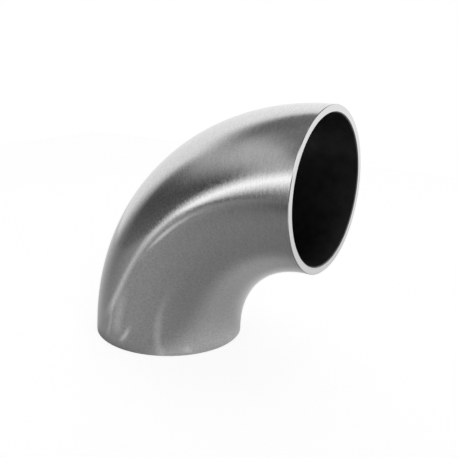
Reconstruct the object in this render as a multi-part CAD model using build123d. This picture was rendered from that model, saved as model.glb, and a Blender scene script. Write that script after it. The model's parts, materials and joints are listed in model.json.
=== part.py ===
"""Ninety degree butt-weld elbow: one piece of formed and faced stainless tube.

The elbow stands on its lower end. The origin is the centre of the lower end face, +Z runs up the
lower bore, and the upper end faces +X. The bend lies in the XZ plane. Lengths are in millimetres.
"""

import os

from build123d import *

# Driving dimensions
outside_diameter = 42.4
wall_thickness = 2.0
# From each end face to the axis of the other end
centre_to_end = 48.0
# Straight length that each end keeps where it was sized round before facing
end_land = 1.0
# Sharp corners left by facing are broken by this much
outer_edge_break = 0.15
inner_edge_break = 0.25

# Worked-out sizes
outer_radius = outside_diameter / 2
bore_radius = outer_radius - wall_thickness
bend_radius = centre_to_end - end_land


def tube_section():
    """The ring-shaped section of the tube, flat on the XY plane."""
    return Circle(outer_radius) - Circle(bore_radius)


def formed_bend():
    """A quarter turn of the section round the bend's centre, between the two lands."""
    bend_start = Pos(0, 0, end_land) * tube_section()
    bend_axis = Axis((bend_radius, 0, end_land), (0, 1, 0))
    return revolve(bend_start, axis=bend_axis, revolution_arc=90)


def lower_land():
    """The short straight length at the lower end."""
    return extrude(tube_section(), end_land)


def upper_land():
    """The short straight length at the upper end, which faces +X."""
    bend_end = Plane(
        origin=(bend_radius, 0, centre_to_end),
        x_dir=(0, 1, 0),
        z_dir=(1, 0, 0),
    )
    return extrude(bend_end * tube_section(), end_land)


def end_edges(elbow, axis):
    """The circular edges of the end face that lies furthest along an axis, smallest first."""
    end_face = elbow.faces().sort_by(axis)[-1]
    return end_face.edges().group_by(SortBy.RADIUS)


def break_edges(elbow):
    """Breaks the outer and the inner corner of both end faces."""
    towards_lower_end = Axis((0, 0, 0), (0, 0, -1))
    for axis in (towards_lower_end, Axis.X):
        elbow = chamfer(end_edges(elbow, axis)[-1], outer_edge_break)
        elbow = chamfer(end_edges(elbow, axis)[0], inner_edge_break)
    return elbow


def whole_elbow():
    """The whole elbow as one solid."""
    return break_edges(lower_land() + formed_bend() + upper_land())


os.makedirs("parts", exist_ok=True)
export_step(whole_elbow(), "parts/elbow.step")
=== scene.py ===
"""A ninety degree butt-weld elbow in satin stainless steel, standing on a pale studio floor.

Laid out as an add-on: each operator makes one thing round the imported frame. Lengths are in metres
and angles in degrees, except where a comment says otherwise.
"""

import json
import math

import bpy
from bpy.props import FloatProperty, IntProperty, PointerProperty, StringProperty
from bpy.types import NodeSocket, Operator, Panel, PropertyGroup
from mathutils import Matrix, Vector


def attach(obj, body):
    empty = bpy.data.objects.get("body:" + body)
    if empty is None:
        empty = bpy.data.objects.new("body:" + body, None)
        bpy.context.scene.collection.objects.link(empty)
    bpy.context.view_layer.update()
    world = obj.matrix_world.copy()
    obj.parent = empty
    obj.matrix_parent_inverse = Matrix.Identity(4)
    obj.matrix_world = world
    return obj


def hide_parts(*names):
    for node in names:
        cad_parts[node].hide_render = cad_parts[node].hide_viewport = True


bl_info = {
    "name": "Butt-weld elbow",
    "version": (1, 0, 0),
    "blender": (4, 5, 0),
    "location": "View3D > Sidebar > Elbow",
    "description": "Makes a satin stainless butt-weld elbow and the pale studio it stands in",
    "category": "Object",
}

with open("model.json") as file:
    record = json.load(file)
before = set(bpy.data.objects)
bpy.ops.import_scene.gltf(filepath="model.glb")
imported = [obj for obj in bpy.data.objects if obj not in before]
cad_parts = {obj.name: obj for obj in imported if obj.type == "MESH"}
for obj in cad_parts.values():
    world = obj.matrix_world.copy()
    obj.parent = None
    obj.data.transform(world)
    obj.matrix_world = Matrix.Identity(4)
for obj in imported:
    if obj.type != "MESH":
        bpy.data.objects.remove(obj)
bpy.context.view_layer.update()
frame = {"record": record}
MM = 0.001

# The elbow's sizes, as its record states them
MOUNTS = {mount["name"]: mount for mount in frame["record"]["mounts"]}
BORE_END = MOUNTS["lower_end_bore"]
OUTSIDE_END = MOUNTS["lower_end_outside"]
OUTSIDE_RADIUS = OUTSIDE_END["dims"]["r_mm"] * MM
BORE_RADIUS = BORE_END["dims"]["r_mm"] * MM
OUTER_EDGE_BREAK = OUTSIDE_END["pos_m"][2]
INNER_EDGE_BREAK = BORE_END["pos_m"][2]
END_LAND = INNER_EDGE_BREAK + BORE_END["dims"]["length_mm"] * MM
CENTRE_TO_END = MOUNTS["upper_end_bore"]["pos_m"][2]

# Points of the mesh that are nearer than this are joined
JOIN_DISTANCE = 0.001 * MM
# Edges that turn by more than this stay sharp
SHARP_ANGLE = 30
# Points across a broken corner and across a faced end
CORNER_POINTS, FACE_POINTS = 2, 4

# Roughness of each finish, from its smoothest places to its roughest
SATIN_ROUGHNESS = (0.09, 0.16)
FACED_ROUGHNESS = (0.2, 0.3)
BORE_ROUGHNESS = 0.45
# Where a finish's noise counts as its lowest and its highest
NOISE_ENDS = (0.3, 0.7)
SATIN_COLOUR_ENDS = (0.33, 0.67)
SATIN_ROUGHNESS_ENDS = (0.35, 0.65)
# How far the satin draws its reflections out along the tube, across its lines
SATIN_ANISOTROPY = 0.6
# Depth of each finish's marks, and how strongly they show
SATIN_MARKS = (0.012 * MM, 0.6)
FACED_MARKS = (0.005 * MM, 0.5)
BORE_MARKS = (0.02 * MM, 0.5)
# How much of the satin's pattern is lines and not grain, from the lower half to the open end
LINES_SHARE = (0.25, 0.55)

# A Mix node's sockets by number, because its names are shared: two floats, two colours, and the
# output that carries a colour
FLOAT_A, FLOAT_B, COLOUR_A, COLOUR_B, COLOUR_OUT = 2, 3, 6, 7, 2

# The photograph's camera, found by fitting the elbow's outline and its open end. Its lens and the
# height of its aim were then set. The lens and the sensor are in millimetres
CAMERA_AIM = (19.63 * MM, 0.17 * MM, 33.23 * MM)
CAMERA_DISTANCE = 193.1 * MM
CAMERA_AZIMUTH, CAMERA_ELEVATION, CAMERA_ROLL = 31.42, 15.43, 1.92
CAMERA_LENS, CAMERA_SENSOR = 55.6, 36.0
CAMERA_NEAR_CLIP = 10 * MM

# The soft lamp overhead, with its power in watts
SOFTBOX_PLACE = (60 * MM, 20 * MM, 350 * MM)
SOFTBOX_WIDTH = 240 * MM
SOFTBOX_POWER = 0.08
# The sheet on the table. With the lamp's light on it, its glow brings it to white for the camera
FLOOR_HALF = 300 * MM
FLOOR_PAPER = "#b0b0b0"
FLOOR_GLOW = 0.82

# What stands round the elbow. An azimuth runs from -Y towards +X, and a card's lean is how far it
# shifts sideways for each degree that it rises. The columns are azimuth, lean, elevation, half
# width, half height, softness across, softness up and level, where 1 is white. A later card
# covers an earlier one, and between them is the room
ROOM_LEVEL = 0.19
STUDIO_CARDS = (
    ("grey edge of the sweep", -144, 0.5, 2, 46, 44, 24, 8, 0.83),
    ("bounced light high at the left", -50, -1.2, 28, 30, 24, 15, 20, 0.5),
    ("dark ceiling behind", -115, -1.1, 60, 20, 27, 30, 20, 0.16),
    ("black panel at the left", -62, -0.2, 10, 24, 13, 8, 25, 0.08),
    ("strip light at the left", -27, 0.65, 19, 4.5, 24, 15, 4, 1.6),
    ("softbox beside the camera", 60, 0, 32, 22, 18, 10, 10, 1.2),
    ("black panel at the right", 95, 0, 10, 12, 30, 10, 12, 0.06),
    ("strip light at the right", 122, 0, 18, 5, 22, 6, 12, 1.5),
)
# Where metal shows the white of the sweep behind the elbow: a card's columns from azimuth to softness
SWEEP = (-178, 1.3, 8, 48, 32, 100, 21)
# Painted light on the sheet: a glow that only the metal shows, which paints reflections and glints
# into the elbow. Each fans out from a point. The columns are azimuth, half width and softness, and then
# in millimetres the point, the distances from the elbow's axis at which the light comes in and is full,
# and those at which it fades and is gone, if it does. Level is last
FLOOR_FANS = (
    ("sheet rising behind", -160, 50, 75, (0, -15), (11, 22), None, 0.65),
    ("sheet in front, at the left", -47, 22, 30, (48, 18), (18, 25), None, 0.12),
    ("sheet at the right", 105, 20, 30, (10, 10), (17, 50), None, 0.22),
    ("sheet in front of the mouth", 60, 25, 20, (0, 0), (95, 140), None, 0.35),
    ("light behind the mouth", 137, 9, 17, (20, 0), (80, 110), None, 0.5),
    ("light far behind the mouth", 151, 8, 12, (20, 0), (100, 200), None, 0.36),
    ("foot of the strip light", -43, 3, 9, (10, 20), (30, 60), None, 0.32),
    ("far foot of the strip light", -43, 4, 9, (10, 20), (170, 270), None, 0.22),
    ("edge of the strip light", -25, 3, 3, (-8, 28), (140, 145), (150, 255), 0.5),
    ("short streak at the left", -63, 1.5, 4, (12, -9), (22, 30), (45, 70), 0.16),
    ("soft streak at the left", -49, 6, 12, (8, -10), (26, 34), (50, 80), 0.13),
    ("short streak in front", 7, 3, 8, (9, 0), (20, 23), (35, 45), 0.14),
    ("glint at the front", -6, 2.5, 7, (-3, -5), (24, 28), (30, 38), 0.35),
)
# Painted pools of light on the sheet, a glow that only the metal shows: centre, full radius and outer
# radius in millimetres, and level
FLOOR_POOLS = (
    ("light under the bend", (13, -5), 11, 21, 0.22),
    ("glint at the foot", (19, -15), 0.5, 2.5, 0.12),
)
# Painted shade on the sheet beside the camera, which only the metal shows, with a fan's columns. Level
# is how dark
FLOOR_SHADE = ("shade at the camera's left", 0, 15, 20, (0, 0), (50, 210), None, 0.7)


def linear_colour(code):
    """An sRGB hex colour such as "#d9d8d6" as a linear colour with full alpha."""
    shares = [int(code[i : i + 2], 16) / 255 for i in (1, 3, 5)]
    return [s / 12.92 if s <= 0.04045 else ((s + 0.055) / 1.055) ** 2.4 for s in shares] + [1.0]


def add_node(tree, kind, inputs=(), output=0, **settings):
    """Adds a node with its settings, fills inputs by name or number, and returns one output.

    An input is given a value, a socket to link, or a tuple of sockets to link in turn.
    """
    node = tree.nodes.new(kind)
    for name, value in settings.items():
        setattr(node, name, value)
    for key, value in dict(inputs).items():
        sockets = value if isinstance(value, tuple) and isinstance(value[0], NodeSocket) else (value,)
        for given in sockets:
            if isinstance(given, NodeSocket):
                tree.links.new(given, node.inputs[key])
            else:
                node.inputs[key].default_value = given
    return node.outputs[output] if len(node.outputs) else node


class ElbowSizes(PropertyGroup):
    """Sizes of the elbow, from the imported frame."""

    outside_radius: FloatProperty(
        name="Outside radius",
        description="Radius of the tube's outside",
        default=OUTSIDE_RADIUS,
        unit="LENGTH",
        precision=5,
    )
    bore_radius: FloatProperty(
        name="Bore radius",
        description="Radius of the tube's bore",
        default=BORE_RADIUS,
        unit="LENGTH",
        precision=5,
    )
    centre_to_end: FloatProperty(
        name="Centre to end",
        description="From each end face to the axis of the other end",
        default=CENTRE_TO_END,
        unit="LENGTH",
        precision=5,
    )
    end_land: FloatProperty(
        name="End land",
        description="Short straight length at each end",
        default=END_LAND,
        unit="LENGTH",
        precision=5,
    )
    outer_edge_break: FloatProperty(
        name="Outer edge break",
        description="How much the outer corner of each end is broken",
        default=OUTER_EDGE_BREAK,
        unit="LENGTH",
        precision=5,
    )
    inner_edge_break: FloatProperty(
        name="Inner edge break",
        description="How much the bore's corner of each end is broken",
        default=INNER_EDGE_BREAK,
        unit="LENGTH",
        precision=5,
    )
    steps_round: IntProperty(
        name="Steps round",
        description="Faces round the section",
        default=360,
        min=12,
    )
    outer_steps: IntProperty(
        name="Outer steps",
        description="Points along the outside from end to end",
        default=140,
        min=4,
    )
    bore_steps: IntProperty(
        name="Bore steps",
        description="Points along the bore from end to end",
        default=70,
        min=4,
    )


class ElbowFinish(PropertyGroup):
    """Colours and finish of the steel."""

    satin_colour: StringProperty(
        name="Satin steel",
        description="Colour of the linished outside, as an sRGB hex value",
        default="#e6e6e6",
    )
    satin_shade: StringProperty(
        name="Satin shade",
        description="Colour of the linished outside in its grain and fine lines, as an sRGB hex value",
        default="#cfcfcf",
    )
    faced_colour: StringProperty(
        name="Faced steel",
        description="Colour of the machined ends, as an sRGB hex value",
        default="#e4e4e4",
    )
    # The bore's colours are painted darker than its steel as shade inside the tube, over its duller
    # formed finish
    bore_colour: StringProperty(
        name="Bore",
        description="Colour of the bore as it was formed, as an sRGB hex value",
        default="#818181",
    )
    bore_shade: StringProperty(
        name="Bore shade",
        description="Colour of the bore's darker patches, as an sRGB hex value",
        default="#6d6d6d",
    )
    # The grit's real lines are about 0.1 mm apart, and are drawn coarser so that they show
    linish_spacing: FloatProperty(
        name="Linish spacing",
        description="Spacing of the fine lines round the tube",
        default=0.35 * MM,
        unit="LENGTH",
        precision=5,
    )
    linish_length: FloatProperty(
        name="Linish length",
        description="Length of the fine lines round the tube",
        default=2.5 * MM,
        unit="LENGTH",
        precision=5,
    )
    # The satin's real grain is under 0.1 mm, and is drawn coarser so that it shows
    grain_size: FloatProperty(
        name="Grain",
        description="Size of the satin's faint grain",
        default=0.5 * MM,
        unit="LENGTH",
        precision=5,
    )
    # The tool's real feed is about 0.1 mm a turn, and is drawn coarser so that it shows
    facing_spacing: FloatProperty(
        name="Facing spacing",
        description="Spacing of the tool's rings on the end faces",
        default=0.25 * MM,
        unit="LENGTH",
        precision=5,
    )
    bore_mottle: FloatProperty(
        name="Bore mottling",
        description="Size of the bore's patches",
        default=3.0 * MM,
        unit="LENGTH",
        precision=5,
    )


def build_wall_loop(tree, size):
    """The wall's closed outline: reach from the tube's axis across, path along the tube up."""
    across = {"outside": size["Outside radius"], "bore": size["Bore radius"]}
    across["rim_out"] = add_node(
        tree, "ShaderNodeMath", {0: across["outside"], 1: size["Outer edge break"]}, operation="SUBTRACT"
    )
    across["rim_in"] = add_node(
        tree, "ShaderNodeMath", {0: across["bore"], 1: size["Inner edge break"]}, operation="ADD"
    )
    along = {
        "end": size["Run length"],
        "outer_start": size["Outer edge break"],
        "inner_start": size["Inner edge break"],
    }
    for side in ("outer", "inner"):
        along[side + "_end"] = add_node(
            tree, "ShaderNodeMath", {0: along["end"], 1: along[side + "_start"]}, operation="SUBTRACT"
        )
    # Each corner starts a stretch of so many points that ends at the next corner
    corners = (
        ("outside", "outer_start", size["Outer steps"]),
        ("outside", "outer_end", CORNER_POINTS),
        ("rim_out", "end", FACE_POINTS),
        ("rim_in", "end", CORNER_POINTS),
        ("bore", "inner_end", size["Bore steps"]),
        ("bore", "inner_start", CORNER_POINTS),
        ("rim_in", "start", FACE_POINTS),
        ("rim_out", "start", CORNER_POINTS),
    )
    places = []
    for reach, path, _ in corners:
        place = {"X": across[reach]}
        if path in along:
            place["Y"] = along[path]
        places.append(add_node(tree, "ShaderNodeCombineXYZ", place))
    stretches = []
    for start, end, (_, _, points) in zip(places, places[1:] + places[:1], corners):
        ends = {"Count": points, "Start Location": start, "Offset": end}
        stretches.append(add_node(tree, "GeometryNodeMeshLine", ends, mode="END_POINTS"))
    outline = add_node(tree, "GeometryNodeJoinGeometry", {"Geometry": tuple(stretches)})
    outline = add_node(
        tree, "GeometryNodeMergeByDistance", {"Geometry": outline, "Distance": JOIN_DISTANCE}
    )
    loop = add_node(tree, "GeometryNodeMeshToCurve", {"Mesh": outline})
    place = add_node(tree, "ShaderNodeSeparateXYZ", {0: add_node(tree, "GeometryNodeInputPosition")})
    for name, axis in (("reach", "X"), ("path", "Y")):
        held = {"Geometry": loop, "Name": name, "Value": place.node.outputs[axis]}
        loop = add_node(tree, "GeometryNodeStoreNamedAttribute", held, data_type="FLOAT")
    return loop


def build_section_ring(tree, steps):
    """A ring that the wall's outline is carried round, each point with its angle round the section."""
    ring = add_node(tree, "GeometryNodeCurvePrimitiveCircle", {"Resolution": steps})
    index = add_node(tree, "GeometryNodeInputIndex")
    share = add_node(tree, "ShaderNodeMath", {0: index, 1: steps}, operation="DIVIDE")
    angle = add_node(tree, "ShaderNodeMath", {0: share, 1: math.tau}, operation="MULTIPLY")
    held = {"Geometry": ring, "Name": "turn", "Value": angle}
    return add_node(tree, "GeometryNodeStoreNamedAttribute", held, data_type="FLOAT")


def build_bend(tree, shell, size):
    """Bends the straight wall: each point goes to its place round the quarter turn."""
    path, reach, turn = (
        add_node(tree, "GeometryNodeInputNamedAttribute", {"Name": name}, data_type="FLOAT")
        for name in ("path", "reach", "turn")
    )
    bend_radius, land = size["Bend radius"], size["End land"]
    past_land = add_node(tree, "ShaderNodeMath", {0: path, 1: land}, operation="SUBTRACT")
    free_angle = add_node(tree, "ShaderNodeMath", {0: past_land, 1: bend_radius}, operation="DIVIDE")
    bend_angle = add_node(
        tree,
        "ShaderNodeMapRange",
        {"Value": free_angle, "From Max": math.pi / 2, "To Max": math.pi / 2},
        clamp=True,
    )
    spare_angle = add_node(tree, "ShaderNodeMath", {0: free_angle, 1: bend_angle}, operation="SUBTRACT")
    straight = add_node(tree, "ShaderNodeMath", {0: spare_angle, 1: bend_radius}, operation="MULTIPLY")
    before = add_node(tree, "ShaderNodeMath", {0: straight, 1: 0.0}, operation="MINIMUM")
    after = add_node(tree, "ShaderNodeMath", {0: straight, 1: 0.0}, operation="MAXIMUM")
    sine, cosine, turn_sine, turn_cosine = (
        add_node(tree, "ShaderNodeMath", {0: angle}, operation=operation)
        for angle in (bend_angle, turn)
        for operation in ("SINE", "COSINE")
    )
    swing = add_node(
        tree, "ShaderNodeMath", {0: reach, 1: turn_cosine, 2: bend_radius}, operation="MULTIPLY_ADD"
    )
    inward = add_node(tree, "ShaderNodeMath", {0: swing, 1: cosine}, operation="MULTIPLY")
    upward = add_node(tree, "ShaderNodeMath", {0: swing, 1: sine, 2: land}, operation="MULTIPLY_ADD")
    from_centre = add_node(tree, "ShaderNodeMath", {0: bend_radius, 1: inward}, operation="SUBTRACT")
    sideways = add_node(tree, "ShaderNodeMath", {0: reach, 1: turn_sine}, operation="MULTIPLY")
    place = add_node(
        tree,
        "ShaderNodeCombineXYZ",
        {
            "X": add_node(tree, "ShaderNodeMath", {0: from_centre, 1: after}, operation="ADD"),
            "Y": add_node(tree, "ShaderNodeMath", {0: sideways, 1: -1.0}, operation="MULTIPLY"),
            "Z": add_node(tree, "ShaderNodeMath", {0: upward, 1: before}, operation="ADD"),
        },
    )
    around = add_node(tree, "ShaderNodeCombineXYZ", {"X": turn_cosine, "Y": turn_sine})
    run = add_node(tree, "ShaderNodeCombineXYZ", {"X": sine, "Z": cosine})
    for name, value in (("around", around), ("run", run)):
        held = {"Geometry": shell, "Name": name, "Value": value}
        shell = add_node(tree, "GeometryNodeStoreNamedAttribute", held, data_type="FLOAT_VECTOR")
    return add_node(tree, "GeometryNodeSetPosition", {"Geometry": shell, "Position": place})


def build_elbow_tree(satin, faced, bore):
    """The Geometry Nodes tree of the whole elbow: a tube's wall, bent, shaded and given its finishes."""
    tree = bpy.data.node_groups.new("Bent tube wall", "GeometryNodeTree")
    lengths = (
        "Outside radius",
        "Bore radius",
        "Bend radius",
        "End land",
        "Run length",
        "Outer edge break",
        "Inner edge break",
    )
    for name in lengths:
        tree.interface.new_socket(name=name, in_out="INPUT", socket_type="NodeSocketFloat")
    for name in ("Steps round", "Outer steps", "Bore steps"):
        tree.interface.new_socket(name=name, in_out="INPUT", socket_type="NodeSocketInt")
    tree.interface.new_socket(name="Geometry", in_out="OUTPUT", socket_type="NodeSocketGeometry")
    size = add_node(tree, "NodeGroupInput").node.outputs
    loop = build_wall_loop(tree, size)
    ring = build_section_ring(tree, size["Steps round"])
    shell = add_node(tree, "GeometryNodeCurveToMesh", {"Curve": ring, "Profile Curve": loop})
    shell = build_bend(tree, shell, size)
    turned = add_node(tree, "GeometryNodeInputMeshEdgeAngle")
    limit = {0: turned, 1: math.radians(SHARP_ANGLE)}
    sharp = add_node(tree, "FunctionNodeCompare", limit, data_type="FLOAT", operation="GREATER_THAN")
    held = {"Geometry": shell, "Name": "sharp_edge", "Value": sharp}
    shell = add_node(
        tree, "GeometryNodeStoreNamedAttribute", held, data_type="BOOLEAN", domain="EDGE"
    )
    shell = add_node(tree, "GeometryNodeSetShadeSmooth", {"Geometry": shell})
    shell = add_node(tree, "GeometryNodeRealizeInstances", {"Geometry": shell})
    # The outside and the bore keep their finish over their broken corners, up to the faced ends, so the
    # bore's painted shade also darkens its broken corner
    reach = add_node(tree, "GeometryNodeInputNamedAttribute", {"Name": "reach"}, data_type="FLOAT")
    shell = add_node(tree, "GeometryNodeSetMaterial", {"Geometry": shell, "Material": faced})
    for radius, edge_break, finish in (
        ("Outside radius", "Outer edge break", satin),
        ("Bore radius", "Inner edge break", bore),
    ):
        near = {0: reach, 1: size[radius], "Epsilon": size[edge_break]}
        here = add_node(tree, "FunctionNodeCompare", near, data_type="FLOAT", operation="EQUAL")
        shell = add_node(
            tree, "GeometryNodeSetMaterial", {"Geometry": shell, "Selection": here, "Material": finish}
        )
    add_node(tree, "NodeGroupOutput", {"Geometry": shell})
    return tree


def new_material(name):
    """A material with no nodes yet, and its node tree."""
    material = bpy.data.materials.new(name)
    material.use_nodes = True
    material.node_tree.nodes.clear()
    return material, material.node_tree


def finish_steel(tree, colour, roughness, pattern, marks, **more):
    """Ends a material as bare steel whose pattern stands out by its marks' depth and strength."""
    depth, strength = marks
    bump = add_node(
        tree, "ShaderNodeBump", {"Strength": strength, "Distance": depth, "Height": pattern}
    )
    inputs = {"Base Color": colour, "Metallic": 1.0, "Roughness": roughness, "Normal": bump, **more}
    shader = add_node(tree, "ShaderNodeBsdfPrincipled", inputs)
    add_node(tree, "ShaderNodeOutputMaterial", {"Surface": shader})


def make_satin_steel(finish, outside_radius, run_length):
    """Stainless steel, belt linished: soft reflections, with a fine grain and lines round the tube."""
    material, tree = new_material("satin_linished_stainless")
    path = add_node(tree, "ShaderNodeAttribute", output="Fac", attribute_name="path")
    around = add_node(tree, "ShaderNodeAttribute", output="Vector", attribute_name="around")
    run = add_node(tree, "ShaderNodeAttribute", output="Vector", attribute_name="run")
    # Noise that is squeezed along the tube and drawn out round it
    lines_along = add_node(
        tree, "ShaderNodeMath", {0: path, 1: finish.linish_spacing}, operation="DIVIDE"
    )
    drawn_out = {0: around, "Scale": outside_radius / finish.linish_length}
    turn = add_node(tree, "ShaderNodeVectorMath", drawn_out, operation="SCALE")
    turn = add_node(tree, "ShaderNodeSeparateXYZ", {0: turn}).node.outputs
    place = add_node(tree, "ShaderNodeCombineXYZ", {"X": turn["X"], "Y": turn["Y"], "Z": lines_along})
    lines = add_node(tree, "ShaderNodeTexNoise", {"Vector": place, "Scale": 1.0, "Detail": 3.0})
    place = add_node(tree, "ShaderNodeTexCoord", output="Object")
    grain = {"Vector": place, "Scale": 1 / finish.grain_size, "Detail": 2.0}
    grain = add_node(tree, "ShaderNodeTexNoise", grain)
    # The belt bites harder towards the open end than round the middle of the bend
    bites = {
        "Value": path,
        "From Min": run_length / 2,
        "From Max": run_length,
        "To Min": LINES_SHARE[0],
        "To Max": LINES_SHARE[1],
    }
    bite = add_node(tree, "ShaderNodeMapRange", bites)
    mixed = {0: bite, FLOAT_A: grain, FLOAT_B: lines}
    pattern = add_node(tree, "ShaderNodeMix", mixed, data_type="FLOAT")
    low, high = SATIN_COLOUR_ENDS
    share = {"Value": pattern, "From Min": low, "From Max": high}
    shades = {
        0: add_node(tree, "ShaderNodeMapRange", share),
        COLOUR_A: linear_colour(finish.satin_shade),
        COLOUR_B: linear_colour(finish.satin_colour),
    }
    colour = add_node(tree, "ShaderNodeMix", shades, COLOUR_OUT, data_type="RGBA")
    worn = {
        "Value": pattern,
        "From Min": SATIN_ROUGHNESS_ENDS[0],
        "From Max": SATIN_ROUGHNESS_ENDS[1],
        "To Min": SATIN_ROUGHNESS[0],
        "To Max": SATIN_ROUGHNESS[1],
    }
    roughness = add_node(tree, "ShaderNodeMapRange", worn)
    finish_steel(
        tree, colour, roughness, pattern, SATIN_MARKS, Anisotropic=SATIN_ANISOTROPY, Tangent=run
    )
    return material


def make_faced_steel(finish):
    """Stainless steel, faced on a lathe: bright and even, with fine rings from the tool."""
    material, tree = new_material("lathe_faced_stainless")
    reach = add_node(tree, "ShaderNodeAttribute", output="Fac", attribute_name="reach")
    around = add_node(tree, "ShaderNodeAttribute", output="Vector", attribute_name="around")
    rings_out = add_node(
        tree, "ShaderNodeMath", {0: reach, 1: finish.facing_spacing}, operation="DIVIDE"
    )
    turn = add_node(tree, "ShaderNodeSeparateXYZ", {0: around}).node.outputs
    place = add_node(tree, "ShaderNodeCombineXYZ", {"X": turn["X"], "Y": turn["Y"], "Z": rings_out})
    rings = add_node(tree, "ShaderNodeTexNoise", {"Vector": place, "Scale": 1.0, "Detail": 2.0})
    worn = {
        "Value": rings,
        "From Min": NOISE_ENDS[0],
        "From Max": NOISE_ENDS[1],
        "To Min": FACED_ROUGHNESS[0],
        "To Max": FACED_ROUGHNESS[1],
    }
    roughness = add_node(tree, "ShaderNodeMapRange", worn)
    finish_steel(tree, linear_colour(finish.faced_colour), roughness, rings, FACED_MARKS)
    return material


def make_bore_steel(finish):
    """Stainless steel as formed and pickled, not polished: dull and slightly mottled, and darker in
    colour as painted shade in the bore.
    """
    material, tree = new_material("as_formed_stainless_bore")
    place = add_node(tree, "ShaderNodeTexCoord", output="Object")
    patches = {"Vector": place, "Scale": 1 / finish.bore_mottle, "Detail": 4.0}
    patches = add_node(tree, "ShaderNodeTexNoise", patches)
    low, high = NOISE_ENDS
    share = {"Value": patches, "From Min": low, "From Max": high}
    # Both colours carry painted shade in the bore; between them lie its random darker patches
    shades = {
        0: add_node(tree, "ShaderNodeMapRange", share),
        COLOUR_A: linear_colour(finish.bore_shade),
        COLOUR_B: linear_colour(finish.bore_colour),
    }
    colour = add_node(tree, "ShaderNodeMix", shades, COLOUR_OUT, data_type="RGBA")
    finish_steel(tree, colour, BORE_ROUGHNESS, patches, BORE_MARKS)
    return material


class ELBOW_OT_make_shell(Operator):
    """Make the elbow as one closed shell with its outside, faced ends and bore"""

    bl_idname = "elbow.make_shell"
    bl_label = "Make the elbow"

    def execute(self, context):
        sizes = context.scene.elbow_sizes
        finish = context.scene.elbow_finish
        bend_radius = sizes.centre_to_end - sizes.end_land
        if sizes.bore_radius >= sizes.outside_radius or sizes.outside_radius >= bend_radius:
            raise ValueError("the bore has to fit in the tube, and the tube in the bend")
        run_length = 2 * sizes.end_land + bend_radius * math.pi / 2
        tree = build_elbow_tree(
            make_satin_steel(finish, sizes.outside_radius, run_length),
            make_faced_steel(finish),
            make_bore_steel(finish),
        )
        values = {
            "Outside radius": sizes.outside_radius,
            "Bore radius": sizes.bore_radius,
            "Bend radius": bend_radius,
            "End land": sizes.end_land,
            "Run length": run_length,
            "Outer edge break": sizes.outer_edge_break,
            "Inner edge break": sizes.inner_edge_break,
            "Steps round": sizes.steps_round,
            "Outer steps": sizes.outer_steps,
            "Bore steps": sizes.bore_steps,
        }
        base = bpy.data.objects.new("elbow_base", bpy.data.meshes.new("elbow_base"))
        context.scene.collection.objects.link(base)
        modifier = base.modifiers.new("Bent tube wall", "NODES")
        modifier.node_group = tree
        for item in tree.interface.items_tree:
            if item.in_out == "INPUT":
                modifier[item.identifier] = values[item.name]
        seen = context.evaluated_depsgraph_get()
        mesh = bpy.data.meshes.new_from_object(
            base.evaluated_get(seen), preserve_all_data_layers=True, depsgraph=seen
        )
        bpy.data.objects.remove(base)
        elbow = bpy.data.objects.new("elbow_shell", mesh)
        context.scene.collection.objects.link(elbow)
        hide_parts("elbow")
        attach(elbow, "root")
        return {"FINISHED"}


def soft_band(tree, value, half, soft):
    """1 where an angle in radians is within half of zero, falling to 0 over soft, both in degrees."""
    size = add_node(tree, "ShaderNodeMath", {0: value}, operation="ABSOLUTE")
    limits = {
        "Value": size,
        "From Min": math.radians(half - soft / 2),
        "From Max": math.radians(half + soft / 2),
        "To Min": 1.0,
        "To Max": 0.0,
    }
    return add_node(tree, "ShaderNodeMapRange", limits, interpolation_type="SMOOTHSTEP")


def wedge_mask(tree, azimuth, middle, half, soft):
    """1 where an azimuth in radians is within half of the middle one, falling to 0 over soft."""
    aside = add_node(tree, "ShaderNodeMath", {0: azimuth, 1: math.radians(middle)}, operation="SUBTRACT")
    aside = add_node(tree, "ShaderNodeMath", {0: aside, 1: math.pi, 2: -math.pi}, operation="WRAP")
    return soft_band(tree, aside, half, soft)


def card_mask(tree, azimuth, elevation, card):
    """How far a direction, in radians, lies on a card: 1 on it, 0 off it."""
    card_azimuth, lean, card_elevation, half_wide, half_high, soft_wide, soft_high = card
    over = add_node(
        tree, "ShaderNodeMath", {0: elevation, 1: math.radians(card_elevation)}, operation="SUBTRACT"
    )
    straight = add_node(
        tree, "ShaderNodeMath", {0: over, 1: -lean, 2: azimuth}, operation="MULTIPLY_ADD"
    )
    bands = {
        0: wedge_mask(tree, straight, card_azimuth, half_wide, soft_wide),
        1: soft_band(tree, over, half_high, soft_high),
    }
    return add_node(tree, "ShaderNodeMath", bands, operation="MULTIPLY")


def azimuth_of(tree, place):
    """The azimuth of a place or a direction, from -Y towards +X, in radians."""
    place = add_node(tree, "ShaderNodeSeparateXYZ", {0: place}).node.outputs
    front = add_node(tree, "ShaderNodeMath", {0: place["Y"], 1: -1.0}, operation="MULTIPLY")
    return add_node(tree, "ShaderNodeMath", {0: place["X"], 1: front}, operation="ARCTAN2")


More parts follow.
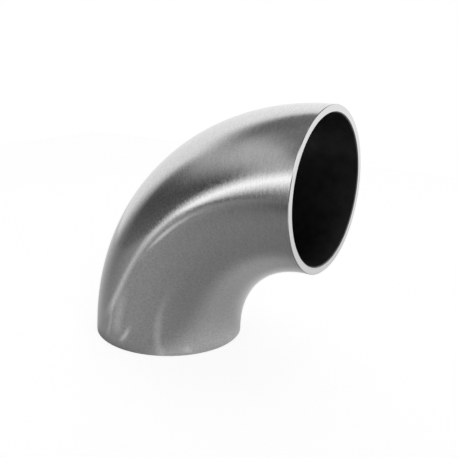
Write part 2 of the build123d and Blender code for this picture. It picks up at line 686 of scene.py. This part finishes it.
def make_world():
    """The studio round the table. The camera sees plain white, and so does metal towards the sweep."""
    world = bpy.data.worlds.new("studio")
    world.use_nodes = True
    tree = world.node_tree
    tree.nodes.clear()
    way = add_node(tree, "ShaderNodeTexCoord", output="Generated")
    azimuth = azimuth_of(tree, way)
    height = add_node(tree, "ShaderNodeSeparateXYZ", {0: way}, "Z")
    elevation = add_node(tree, "ShaderNodeMath", {0: height}, operation="ARCSINE")
    level = ROOM_LEVEL
    for _, *card, card_level in STUDIO_CARDS:
        mask = card_mask(tree, azimuth, elevation, card)
        covered = {0: mask, FLOAT_A: level, FLOAT_B: card_level}
        level = add_node(tree, "ShaderNodeMix", covered, data_type="FLOAT")
    rays = add_node(tree, "ShaderNodeLightPath").node.outputs
    sweep = card_mask(tree, azimuth, elevation, SWEEP)
    seen_in_metal = {0: rays["Is Glossy Ray"], 1: sweep, 2: rays["Is Camera Ray"]}
    white = add_node(tree, "ShaderNodeMath", seen_in_metal, operation="MULTIPLY_ADD")
    seen_through = {0: white, 1: rays["Is Transmission Ray"]}
    white = add_node(tree, "ShaderNodeMath", seen_through, operation="ADD", use_clamp=True)
    covered = {0: white, FLOAT_A: level, FLOAT_B: 1.0}
    level = add_node(tree, "ShaderNodeMix", covered, data_type="FLOAT")
    background = add_node(
        tree, "ShaderNodeBackground", {"Color": linear_colour("#ffffff"), "Strength": level}
    )
    add_node(tree, "ShaderNodeOutputWorld", {"Surface": background})
    bpy.context.scene.world = world


def floor_fan(tree, place, fan):
    """The level at a place on the sheet of painted light or painted shade that fans out from a point."""
    _, azimuth, half, soft, (x, y), (clear, full), fade, level = fan
    start = (x * MM, y * MM, 0.0)
    away = add_node(tree, "ShaderNodeVectorMath", {0: place, 1: start}, operation="SUBTRACT")
    from_axis = add_node(tree, "ShaderNodeVectorMath", {0: place}, "Value", operation="LENGTH")
    ramps = [(clear, full, 0.0, level)]
    if fade:
        ramps.append((*fade, 1.0, 0.0))
    share = wedge_mask(tree, azimuth_of(tree, away), azimuth, half, soft)
    for near, far, before, after in ramps:
        ends = {
            "Value": from_axis,
            "From Min": near * MM,
            "From Max": far * MM,
            "To Min": before,
            "To Max": after,
        }
        ramp = add_node(tree, "ShaderNodeMapRange", ends, interpolation_type="SMOOTHSTEP")
        share = add_node(tree, "ShaderNodeMath", {0: share, 1: ramp}, operation="MULTIPLY")
    return share


def floor_pool(tree, place, pool):
    """The level at a place on the sheet of a round pool of painted light."""
    _, (x, y), full, clear, level = pool
    ways = {0: place, 1: (x * MM, y * MM, 0.0)}
    away = add_node(tree, "ShaderNodeVectorMath", ways, "Value", operation="DISTANCE")
    ends = {
        "Value": away,
        "From Min": full * MM,
        "From Max": clear * MM,
        "To Min": level,
        "To Max": 0.0,
    }
    return add_node(tree, "ShaderNodeMapRange", ends, interpolation_type="SMOOTHSTEP")


def make_floor():
    """A pale matt sheet. The camera sees it white but for the elbow's soft shadow, and metal sees
    painted light and shade on it.
    """
    mesh = bpy.data.meshes.new("studio_floor")
    corners = [(x * FLOOR_HALF, y * FLOOR_HALF, 0.0) for x, y in ((-1, -1), (1, -1), (1, 1), (-1, 1))]
    mesh.from_pydata(corners, [], [(0, 1, 2, 3)])
    floor = bpy.data.objects.new("studio_floor", mesh)
    bpy.context.scene.collection.objects.link(floor)
    material, tree = new_material("pale_studio_floor")
    rays = add_node(tree, "ShaderNodeLightPath").node.outputs
    place = add_node(tree, "ShaderNodeTexCoord", output="Object")
    # Painted light and shade, which only metal sees, so the sheet itself stays plain
    lit = [floor_fan(tree, place, fan) for fan in FLOOR_FANS]
    lit += [floor_pool(tree, place, pool) for pool in FLOOR_POOLS]
    light = 0.0
    for part in lit:
        light = add_node(tree, "ShaderNodeMath", {0: light, 1: part}, operation="ADD")
    light, shade = (
        add_node(tree, "ShaderNodeMath", {0: part, 1: rays["Is Glossy Ray"]}, operation="MULTIPLY")
        for part in (light, floor_fan(tree, place, FLOOR_SHADE))
    )
    plain = {0: rays["Is Camera Ray"], 1: rays["Is Transmission Ray"]}
    plain = add_node(tree, "ShaderNodeMath", plain, operation="ADD")
    strength = {0: plain, 1: FLOOR_GLOW, 2: light}
    strength = add_node(tree, "ShaderNodeMath", strength, operation="MULTIPLY_ADD")
    glow = add_node(tree, "ShaderNodeEmission", {"Strength": strength})
    # Painted shade: for the metal the paper goes towards black where the shade falls
    shades = {0: shade, COLOUR_A: linear_colour(FLOOR_PAPER), COLOUR_B: linear_colour("#000000")}
    colour = add_node(tree, "ShaderNodeMix", shades, COLOUR_OUT, data_type="RGBA")
    paper = add_node(tree, "ShaderNodeBsdfDiffuse", {"Color": colour})
    both = add_node(tree, "ShaderNodeAddShader", {0: glow, 1: paper})
    add_node(tree, "ShaderNodeOutputMaterial", {"Surface": both})
    mesh.materials.append(material)


def make_overhead_softbox():
    """A soft lamp overhead, which gives the floor its light and the elbow its shadow."""
    lamp = bpy.data.lights.new("overhead_softbox", "AREA")
    lamp.shape = "DISK"
    lamp.size = SOFTBOX_WIDTH
    lamp.energy = SOFTBOX_POWER
    softbox = bpy.data.objects.new("overhead_softbox", lamp)
    softbox.location = SOFTBOX_PLACE
    bpy.context.scene.collection.objects.link(softbox)


def make_camera():
    """The photograph's camera: its place, tilt and lens."""
    azimuth, elevation, roll = (
        math.radians(angle) for angle in (CAMERA_AZIMUTH, CAMERA_ELEVATION, CAMERA_ROLL)
    )
    back = Vector(
        (
            math.sin(azimuth) * math.cos(elevation),
            -math.cos(azimuth) * math.cos(elevation),
            math.sin(elevation),
        )
    )
    level_right = Vector((math.cos(azimuth), math.sin(azimuth), 0.0))
    level_up = back.cross(level_right)
    right = math.cos(roll) * level_right + math.sin(roll) * level_up
    up = back.cross(right)
    camera = bpy.data.objects.new("camera", bpy.data.cameras.new("camera"))
    camera.data.sensor_width = CAMERA_SENSOR
    camera.data.lens = CAMERA_LENS
    camera.data.clip_start = CAMERA_NEAR_CLIP
    camera.matrix_world = Matrix.Translation(Vector(CAMERA_AIM) + back * CAMERA_DISTANCE) @ (
        Matrix((right, up, back)).transposed().to_4x4()
    )
    bpy.context.scene.collection.objects.link(camera)
    bpy.context.scene.camera = camera


class ELBOW_OT_set_stage(Operator):
    """Make the floor, the studio's light and the camera"""

    bl_idname = "elbow.set_stage"
    bl_label = "Set the stage"

    def execute(self, context):
        make_world()
        make_floor()
        make_overhead_softbox()
        make_camera()
        context.scene.view_settings.view_transform = "Standard"
        return {"FINISHED"}


class ELBOW_PT_panel(Panel):
    """Lists the elbow's operators, sizes and finish"""

    bl_idname = "ELBOW_PT_panel"
    bl_label = "Butt-weld elbow"
    bl_space_type = "VIEW_3D"
    bl_region_type = "UI"
    bl_category = "Elbow"

    def draw(self, context):
        for operator in OPERATORS:
            self.layout.operator(operator.bl_idname)
        for group in (context.scene.elbow_sizes, context.scene.elbow_finish):
            for name in group.__annotations__:
                self.layout.prop(group, name)


OPERATORS = (ELBOW_OT_make_shell, ELBOW_OT_set_stage)
CLASSES = (ElbowSizes, ElbowFinish, *OPERATORS, ELBOW_PT_panel)


def register():
    for cls in CLASSES:
        bpy.utils.register_class(cls)
    bpy.types.Scene.elbow_sizes = PointerProperty(type=ElbowSizes)
    bpy.types.Scene.elbow_finish = PointerProperty(type=ElbowFinish)


def unregister():
    del bpy.types.Scene.elbow_finish
    del bpy.types.Scene.elbow_sizes
    for cls in reversed(CLASSES):
        bpy.utils.unregister_class(cls)


def main():
    """Makes the elbow and its stage."""
    register()
    bpy.ops.elbow.make_shell()
    bpy.ops.elbow.set_stage()


if __name__ == "__main__":
    main()
